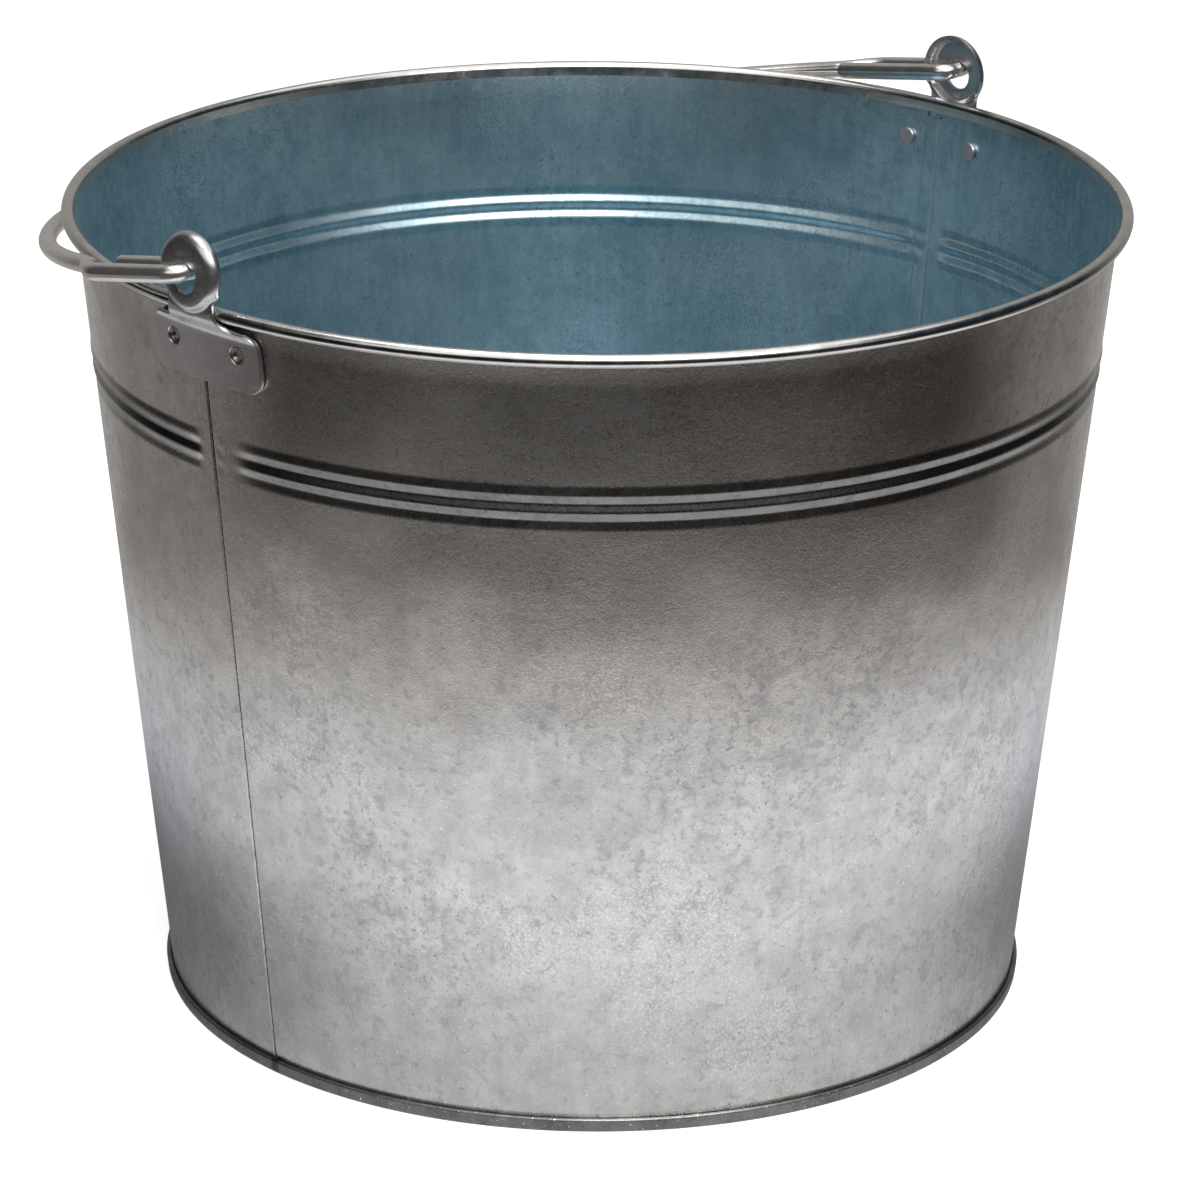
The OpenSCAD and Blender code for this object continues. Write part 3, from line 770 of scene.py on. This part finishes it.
# ------------------------------------------------------------------- rivets
def rivet(name, node, a, seed):
    """Flat head inside the bucket, shank, hollow tail set in the ear's hole."""
    h0 = -T - 0.05
    prof = [(0.0, h0 - 1.16), (1.4, h0 - 1.18), (2.25, h0 - 1.2), (2.44, h0 - 1.16), (2.55, h0 - 1.06), (2.6, h0 - 0.9),
            (2.6, h0 - 0.25), (2.56, h0 - 0.08), (2.45, h0), (2.05, h0), (2.05, 0.62), (2.2, 0.74), (2.4, 0.86),
            (2.44, 0.93), (2.38, 0.98), (2.2, 0.97), (1.98, 0.88), (1.82, 0.74), (1.72, 0.55), (1.66, 0.2), (1.62, -0.35),
            (1.5, -0.55), (1.3, -0.62), (0.8, -0.64), (0.0, -0.62)]
    v, f = lathe(prof, 56, closed=False)
    rng = np.random.RandomState(seed)
    k = 1 + 0.012 * np.sin(np.arctan2(v[:, 1], v[:, 0]) * 3 + rng.uniform(0, 6))
    v[:, 0] *= k
    v[:, 1] *= k
    # the tail's rolled edge and its pit take the darker tail material: painted shade in the recess
    tail = [1 if np.mean([v[i][2] for i in q]) > 0.3 or (np.mean([v[i][2] for i in q]) > -0.7 and abs(v[q[0]][0]) + abs(v[q[0]][1]) < 2.4)
            else 0 for q in f]
    ob = build(name, v, f, [MAT_RIVET, MAT_TAIL_SHADED], tail, sharp=48.0)
    ob.data.transform(place_on_wall(a, Z_RIM - 10.7))
    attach(ob, "bucket")
    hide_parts(node)
    return ob


rivet("right_front_rivet_set", "right_ear_front_rivet", -4.9, 1)
rivet("right_back_rivet_set", "right_ear_back_rivet", 4.9, 2)
rivet("left_front_rivet_set", "left_ear_front_rivet", 184.9, 3)
rivet("left_back_rivet_set", "left_ear_back_rivet", 175.1, 4)


# --------------------------------------------------------------------- bail
def bail():
    """One 5 mm wire: inner leg, eye, outer leg, joggle, arch, and back again."""
    R, OUT, INN, BR, JR, JV, ST = 155.0, 156.1, 146.0, 3.4, 14.0, 30.0, 1.2
    c1 = np.array([OUT - JR, JV])
    L1 = np.linalg.norm(c1)
    L2 = math.hypot(R + JR, ST)
    L12 = math.hypot(2 * JR, ST)
    ca = (L2 ** 2 - L12 ** 2 + L1 ** 2) / (2 * L1)
    ch = math.sqrt(L2 ** 2 - ca ** 2)
    c2 = ca * c1 / L1 + ch * np.array([-c1[1], c1[0]]) / L1
    turn = math.degrees(math.atan2(c2[1] - c1[1], c2[0] - c1[0]) - math.atan2(ST, 2 * JR))
    arch = math.degrees(math.atan2(c2[1], c2[0]) + math.atan2(ST, R + JR))

    def side(leg):
        p = [[INN, v] for v in np.linspace(leg, BR + 0.8, 12)]
        p += arc_pts(INN + BR, BR, BR, 180, 270, 13).tolist()
        p += [[(INN + OUT) / 2, 0.0]]
        p += arc_pts(OUT - BR, BR, BR, -90, 0, 13).tolist()
        p += [[OUT, v] for v in np.linspace(6, JV - 2, 9)]
        p += arc_pts(c1[0], c1[1], JR, 0, turn, 14).tolist()
        p += arc_pts(c2[0], c2[1], JR, 180 + turn, 180 + arch, 14).tolist()
        return p

    right = np.array(side(42.0))
    left = np.array(side(34.0))
    left[:, 0] *= -1
    mid = arc_pts(0, 0, R, arch + 1.0, 179.0 - arch, 96)
    p = np.concatenate([right, mid, left[::-1]])
    keep = np.concatenate([[True], np.linalg.norm(np.diff(p, axis=0), axis=1) > 0.05])
    p = p[keep]
    # hand-bent wire: the arch leans a little, right side high
    lift = 0.0048 * p[:, 0] * np.clip(p[:, 1], 0, 80) / 80.0
    c = np.stack([p[:, 0], p[:, 1], lift], 1)
    t = np.gradient(c, axis=0)
    t /= np.linalg.norm(t, axis=1, keepdims=True)
    up = np.array([0, 0, 1.0])
    sd = np.cross(t, up)
    sd /= np.linalg.norm(sd, axis=1, keepdims=True)
    nn = np.cross(sd, t)
    n, m = len(c), 32
    a = 2 * math.pi * np.arange(m) / m
    rings = []

    def ring(i, rad, shift=0.0):
        ctr = c[i] + t[i] * shift
        return ctr + rad * (np.outer(np.cos(a), sd[i]) + np.outer(np.sin(a), nn[i]))

    w = 2.5
    rings.append(ring(0, 1.2, -0.02)); rings.append(ring(0, 1.95, 0.0)); rings.append(ring(0, 2.3, 0.14)); rings.append(ring(0, 2.46, 0.42)); rings.append(ring(0, w, 0.85))
    for i in range(1, n - 1):
        rings.append(ring(i, w))
    rings.append(ring(n - 1, w, -0.85)); rings.append(ring(n - 1, 2.46, -0.42)); rings.append(ring(n - 1, 2.3, -0.14)); rings.append(ring(n - 1, 1.95, 0.0)); rings.append(ring(n - 1, 1.2, 0.02))
    v = np.concatenate(rings)
    k = len(rings)
    faces = []
    for i in range(k - 1):
        for j in range(m):
            l = (j + 1) % m
            faces.append((i * m + j, i * m + l, (i + 1) * m + l, (i + 1) * m + j))
    v = np.concatenate([v, c[[0]], c[[-1]]])
    for j in range(m):
        l = (j + 1) % m
        faces.append((k * m, l, j))
        faces.append((k * m + 1, (k - 1) * m + j, (k - 1) * m + l))
    ob = build("bail_wire", v, faces, [MAT_BAIL], sharp=60.0)
    ob.data.transform(Matrix.Translation((0, 0, HINGE_Z * MM)) @ Matrix.Rotation(math.radians(-10.5), 4, "X"))
    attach(ob, "bail")
    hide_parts("bail")
    return ob


bail()

# ----------------------------------------------- carried-over hidden pieces
hoop = bright_steel("hoop_wire", (0.55, 0.54, 0.52), 0.35, scratch=(200.0, 200.0, 200.0))
seal = Nodes("seam_compound")
sn = seal.noise(700.0, 3.0, 0.6)
seal_mat = seal.finish(seal.mix(sn, (0.34, 0.31, 0.26), (0.50, 0.47, 0.41)), seal.range(sn, 0.3, 0.7, 0.7, 0.9), metallic=0.0)
seal.bump(sn, 0.3, 0.0003)
for node, mat in (("rim_wire", hoop), ("bottom_seam_sealant", seal_mat), ("left_seam_sealant", seal_mat), ("right_seam_sealant", seal_mat)):
    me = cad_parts[node].data
    me.materials.clear()
    me.materials.append(mat)

# ------------------------------------------------------------------- studio
def disc(name, r0, r1, z, n=128):
    v, f = [], []
    a = 2 * math.pi * np.arange(n) / n
    for r in ([r1] if r0 == 0 else [r0, r1]):
        v += [(r * math.cos(x), r * math.sin(x), z) for x in a]
    if r0 == 0:
        f = [tuple(range(n))]
    else:
        f = [(i, (i + 1) % n, n + (i + 1) % n, n + i) for i in range(n)]
        f = [tuple(reversed(q)) for q in f]
    me = bpy.data.meshes.new(name)
    me.from_pydata(v, [], f)
    ob = bpy.data.objects.new(name, me)
    scene.collection.objects.link(ob)
    return ob


pale = Nodes("pale_floor")
pn = pale.noise(6.0, 2.0, 0.5)
pale_mat = pale.finish(pale.mix(pn, (0.86, 0.86, 0.86), (0.90, 0.90, 0.90)), 0.9, metallic=0.0)
pale.bsdf.inputs["Specular IOR Level"].default_value = 0.1
pale.bsdf.inputs["Emission Color"].default_value = (1, 1, 1, 1)
pale.bsdf.inputs["Emission Strength"].default_value = 0.72
floor = disc("floor", 0, 6.0, 0.0)
floor.data.materials.append(pale_mat)
floor.visible_glossy = False


def glow_floor():
    """What the metal mirrors of the floor: bright close to the bucket, falling
    off to the dark studio, weaker round the sides."""
    rr = np.array([0.0, 0.10, 0.13, 0.15, 0.172, 0.19, 0.204, 0.225, 0.25, 0.273, 0.296, 0.317, 0.337, 0.36, 0.382,
                   0.40, 0.415, 0.437, 0.46, 0.485, 0.509, 0.53, 0.56, 0.60, 0.66, 0.75])
    lv = np.interp(rr, [0.13, 0.172, 0.204, 0.25, 0.296, 0.337, 0.382, 0.415, 0.437, 0.509, 0.56, 0.66, 0.75],
                   FLOOR_GLOW)
    n = 144
    az = 2 * math.pi * np.arange(n) / n
    off = (np.degrees(az) - 225.0 + 180.0) % 360.0 - 180.0      # from the front, + to the right
    v, col = [], []
    for r, l in zip(rr, lv):
        for x, d in zip(az, off):
            v.append((r * math.cos(x), r * math.sin(x), -0.001))
            inner = float(1 - ss((r - 0.25) / 0.17))
            deep = float(1 - ss((r - 0.17) / 0.09))
            if d < 0:
                k, kd = 0.46 * float(ss((-d - 20) / 110)), 0.66 * float(ss((-d - 8) / 80))
            else:
                k, kd = 0.32 * float(ss((d - 70) / 60)), 0.62 * float(ss((d - 28) / 72))
            wrap = float(ss((abs(d) - 115) / 60))
            k, kd = k * (1 - wrap) + 0.36 * wrap, kd * (1 - wrap) + 0.60 * wrap
            e = l * (1 - inner * k) * (1 - deep * kd)
            e *= 1 + 0.9 * float(ss((r - 0.42) / 0.1)) * float(ss((abs(d) - 15) / 80))
            side = float(ss((-d - 58) / 40) if d < 0 else ss((d - 68) / 45)) * float(ss((r - 0.35) / 0.09))
            e = max(e, 0.26 * side)
            back = float(ss((abs(d) - 118) / 45)) * float(ss((r - 0.26) / 0.16))
            e = e * (1 - back) + 0.55 * back
            warm = float(ss((r - 0.27) / 0.2)) * (1 - 0.75 * side)
            cool = inner * (0.6 + 0.4 * float(ss((abs(d) - 40) / 80)))
            col.append((e * (1 + 0.10 * warm - 0.07 * cool), e * (1 - 0.02 * warm - 0.025 * cool), e * (1 - 0.15 * warm + 0.05 * cool), 1.0))
    f = []
    for i in range(len(rr) - 1):
        for k in range(n):
            l = (k + 1) % n
            if i == 0:
                if k:
                    continue
                f.append(tuple(n + q for q in range(n)))
                continue
            f.append((i * n + k, (i + 1) * n + k, (i + 1) * n + l, i * n + l))
    me = bpy.data.meshes.new("glow_floor")
    me.from_pydata(v, [], f)
    at = me.color_attributes.new("glow", "FLOAT_COLOR", "POINT")
    at.data.foreach_set("color", np.array(col, np.float32).ravel())
    ob = bpy.data.objects.new("glow_floor", me)
    scene.collection.objects.link(ob)
    m = bpy.data.materials.new("glow_floor")
    m.use_nodes = True
    t = m.node_tree
    t.nodes.clear()
    o = t.nodes.new("ShaderNodeOutputMaterial")
    e = t.nodes.new("ShaderNodeEmission")
    c = t.nodes.new("ShaderNodeVertexColor")
    c.layer_name = "glow"
    t.links.new(c.outputs["Color"], e.inputs[0])
    t.links.new(e.outputs[0], o.inputs[0])
    me.materials.append(m)
    for attr in ("visible_camera", "visible_diffuse", "visible_transmission", "visible_shadow", "visible_volume_scatter"):
        setattr(ob, attr, False)


FLOOR_GLOW = [0.76, 0.84, 1.00, 1.10, 1.03, 0.74, 0.31, 0.12, 0.06, 0.015, 0.010, 0.01, 0.01]
glow_floor()

# pale backdrop, seen only by the camera
bm = bmesh.new()
bmesh.ops.create_uvsphere(bm, u_segments=48, v_segments=24, radius=5.9)
me = bpy.data.meshes.new("backdrop")
bm.to_mesh(me)
bm.free()
backdrop = bpy.data.objects.new("backdrop", me)
scene.collection.objects.link(backdrop)
bk = bpy.data.materials.new("pale_backdrop")
bk.use_nodes = True
bk.node_tree.nodes.clear()
bo = bk.node_tree.nodes.new("ShaderNodeOutputMaterial")
be = bk.node_tree.nodes.new("ShaderNodeEmission")
be.inputs[0].default_value = (0.97, 0.97, 0.97, 1)
be.inputs[1].default_value = 1.0
bk.node_tree.links.new(be.outputs[0], bo.inputs[0])
me.materials.append(bk)
for attr in ("visible_diffuse", "visible_glossy", "visible_transmission", "visible_shadow", "visible_volume_scatter"):
    setattr(backdrop, attr, False)

# soft overhead dome, dark round the horizon
world = bpy.data.worlds.new("studio")
scene.world = world
world.use_nodes = True
wt = world.node_tree
wt.nodes.clear()
wo = wt.nodes.new("ShaderNodeOutputWorld")
wb = wt.nodes.new("ShaderNodeBackground")
wc = wt.nodes.new("ShaderNodeTexCoord")
sx = wt.nodes.new("ShaderNodeSeparateXYZ")
ramp = wt.nodes.new("ShaderNodeValToRGB")
wt.links.new(wc.outputs["Generated"], sx.inputs[0])
mr = wt.nodes.new("ShaderNodeMapRange")
mr.inputs["From Min"].default_value = -1.0
mr.inputs["From Max"].default_value = 1.0
wt.links.new(sx.outputs[2], mr.inputs["Value"])
wt.links.new(mr.outputs[0], ramp.inputs[0])
el = ramp.color_ramp.elements
el[0].position = 0.0
el[0].color = (0.012, 0.0095, 0.008, 1)
el[1].position = 1.0
el[1].color = (1.0, 1.0, 1.0, 1)
for pos, c in ((0.495, (0.012, 0.0095, 0.008, 1)), (0.52, (0.006, 0.014, 0.021, 1)), (0.80, (0.008, 0.020, 0.030, 1)),
               (0.86, (0.10, 0.12, 0.13, 1)), (0.90, (1.0, 1.0, 1.0, 1))):
    e = el.new(pos)
    e.color = c

# white backdrop behind the bucket, dark room on the camera's side
flat = wt.nodes.new("ShaderNodeVectorMath")
flat.operation = "MULTIPLY"
flat.inputs[1].default_value = (1, 1, 0)
wt.links.new(wc.outputs["Generated"], flat.inputs[0])
unit = wt.nodes.new("ShaderNodeVectorMath")
unit.operation = "NORMALIZE"
wt.links.new(flat.outputs[0], unit.inputs[0])
dot = wt.nodes.new("ShaderNodeVectorMath")
dot.operation = "DOT_PRODUCT"
dot.inputs[1].default_value = (-0.7071, -0.7071, 0.0)
wt.links.new(unit.outputs[0], dot.inputs[0])
behind = wt.nodes.new("ShaderNodeMapRange")
behind.interpolation_type = "SMOOTHSTEP"
behind.inputs["From Min"].default_value = -0.45
behind.inputs["From Max"].default_value = -0.95
behind.inputs["To Min"].default_value = 0.0
behind.inputs["To Max"].default_value = 0.28
wt.links.new(dot.outputs["Value"], behind.inputs["Value"])
glow = wt.nodes.new("ShaderNodeMix")
glow.data_type = "RGBA"
glow.blend_type = "LIGHTEN"
glow.inputs[0].default_value = 1.0
shade = wt.nodes.new("ShaderNodeMix")
shade.data_type = "RGBA"
shade.inputs[6].default_value = (0, 0, 0, 1)
shade.inputs[7].default_value = (1.0, 0.97, 0.92, 1)
wt.links.new(behind.outputs[0], shade.inputs[0])
# the dome is weaker on the camera's left
left = wt.nodes.new("ShaderNodeVectorMath")
left.operation = "DOT_PRODUCT"
left.inputs[1].default_value = (-0.7071, 0.7071, 0.0)
wt.links.new(wc.outputs["Generated"], left.inputs[0])
lm = wt.nodes.new("ShaderNodeMapRange")
lm.interpolation_type = "SMOOTHSTEP"
for key, val in (("From Min", 0.0), ("From Max", 0.5), ("To Min", 1.0), ("To Max", 0.35)):
    lm.inputs[key].default_value = val
wt.links.new(left.outputs["Value"], lm.inputs["Value"])
dome = wt.nodes.new("ShaderNodeVectorMath")
dome.operation = "SCALE"
wt.links.new(ramp.outputs[0], dome.inputs[0])
wt.links.new(lm.outputs[0], dome.inputs["Scale"])
wt.links.new(dome.outputs[0], glow.inputs[6])
wt.links.new(shade.outputs[2], glow.inputs[7])
# faint low card in front, for the inside of the back wall
def ranged(sock, a, b, c, d):
    n = wt.nodes.new("ShaderNodeMapRange")
    n.interpolation_type = "SMOOTHSTEP"
    for key, val in (("From Min", a), ("From Max", b), ("To Min", c), ("To Max", d)):
        n.inputs[key].default_value = val
    wt.links.new(sock, n.inputs["Value"])
    return n.outputs[0]


card = wt.nodes.new("ShaderNodeMath")
card.operation = "MULTIPLY"
wt.links.new(ranged(dot.outputs["Value"], 0.25, 0.80, 0.0, 1.0), card.inputs[0])
wt.links.new(ranged(sx.outputs[2], 0.27, 0.46, 0.0, 1.0), card.inputs[1])
glow2 = wt.nodes.new("ShaderNodeMix")
glow2.data_type = "RGBA"
glow2.blend_type = "LIGHTEN"
glow2.inputs[0].default_value = 1.0
wt.links.new(glow.outputs[2], glow2.inputs[6])
wt.links.new(card.outputs[0], glow2.inputs[7])
wt.links.new(glow2.outputs[2], wb.inputs[0])
# the dome lights matt surfaces less than it shows in the metal
lp = wt.nodes.new("ShaderNodeLightPath")
wm = wt.nodes.new("ShaderNodeMath")
wm.operation = "MULTIPLY_ADD"
wm.inputs[1].default_value = -0.75
wm.inputs[2].default_value = 1.15
wt.links.new(lp.outputs["Is Diffuse Ray"], wm.inputs[0])
wt.links.new(wm.outputs[0], wb.inputs[1])
wt.links.new(wb.outputs[0], wo.inputs[0])


def area(name, loc, size, power, look=(0, 0, 0.1), color=(1, 1, 1)):
    d = bpy.data.lights.new(name, "AREA")
    d.shape = "RECTANGLE"
    d.size, d.size_y = size
    d.energy = power
    d.color = color
    o = bpy.data.objects.new(name, d)
    scene.collection.objects.link(o)
    o.location = loc
    o.rotation_euler = (Vector(look) - Vector(loc)).to_track_quat("-Z", "Y").to_euler()
    return o


area("top_softbox", (-0.25, 0.15, 1.6), (1.0, 0.8), 5.0)
area("front_softbox", (-0.60, -1.30, 1.75), (1.1, 0.8), 32.0, look=(0.06, 0.12, 0.12))

scene.view_settings.view_transform = "Standard"
scene.view_settings.look = "None"
scene.view_settings.exposure = 0.0
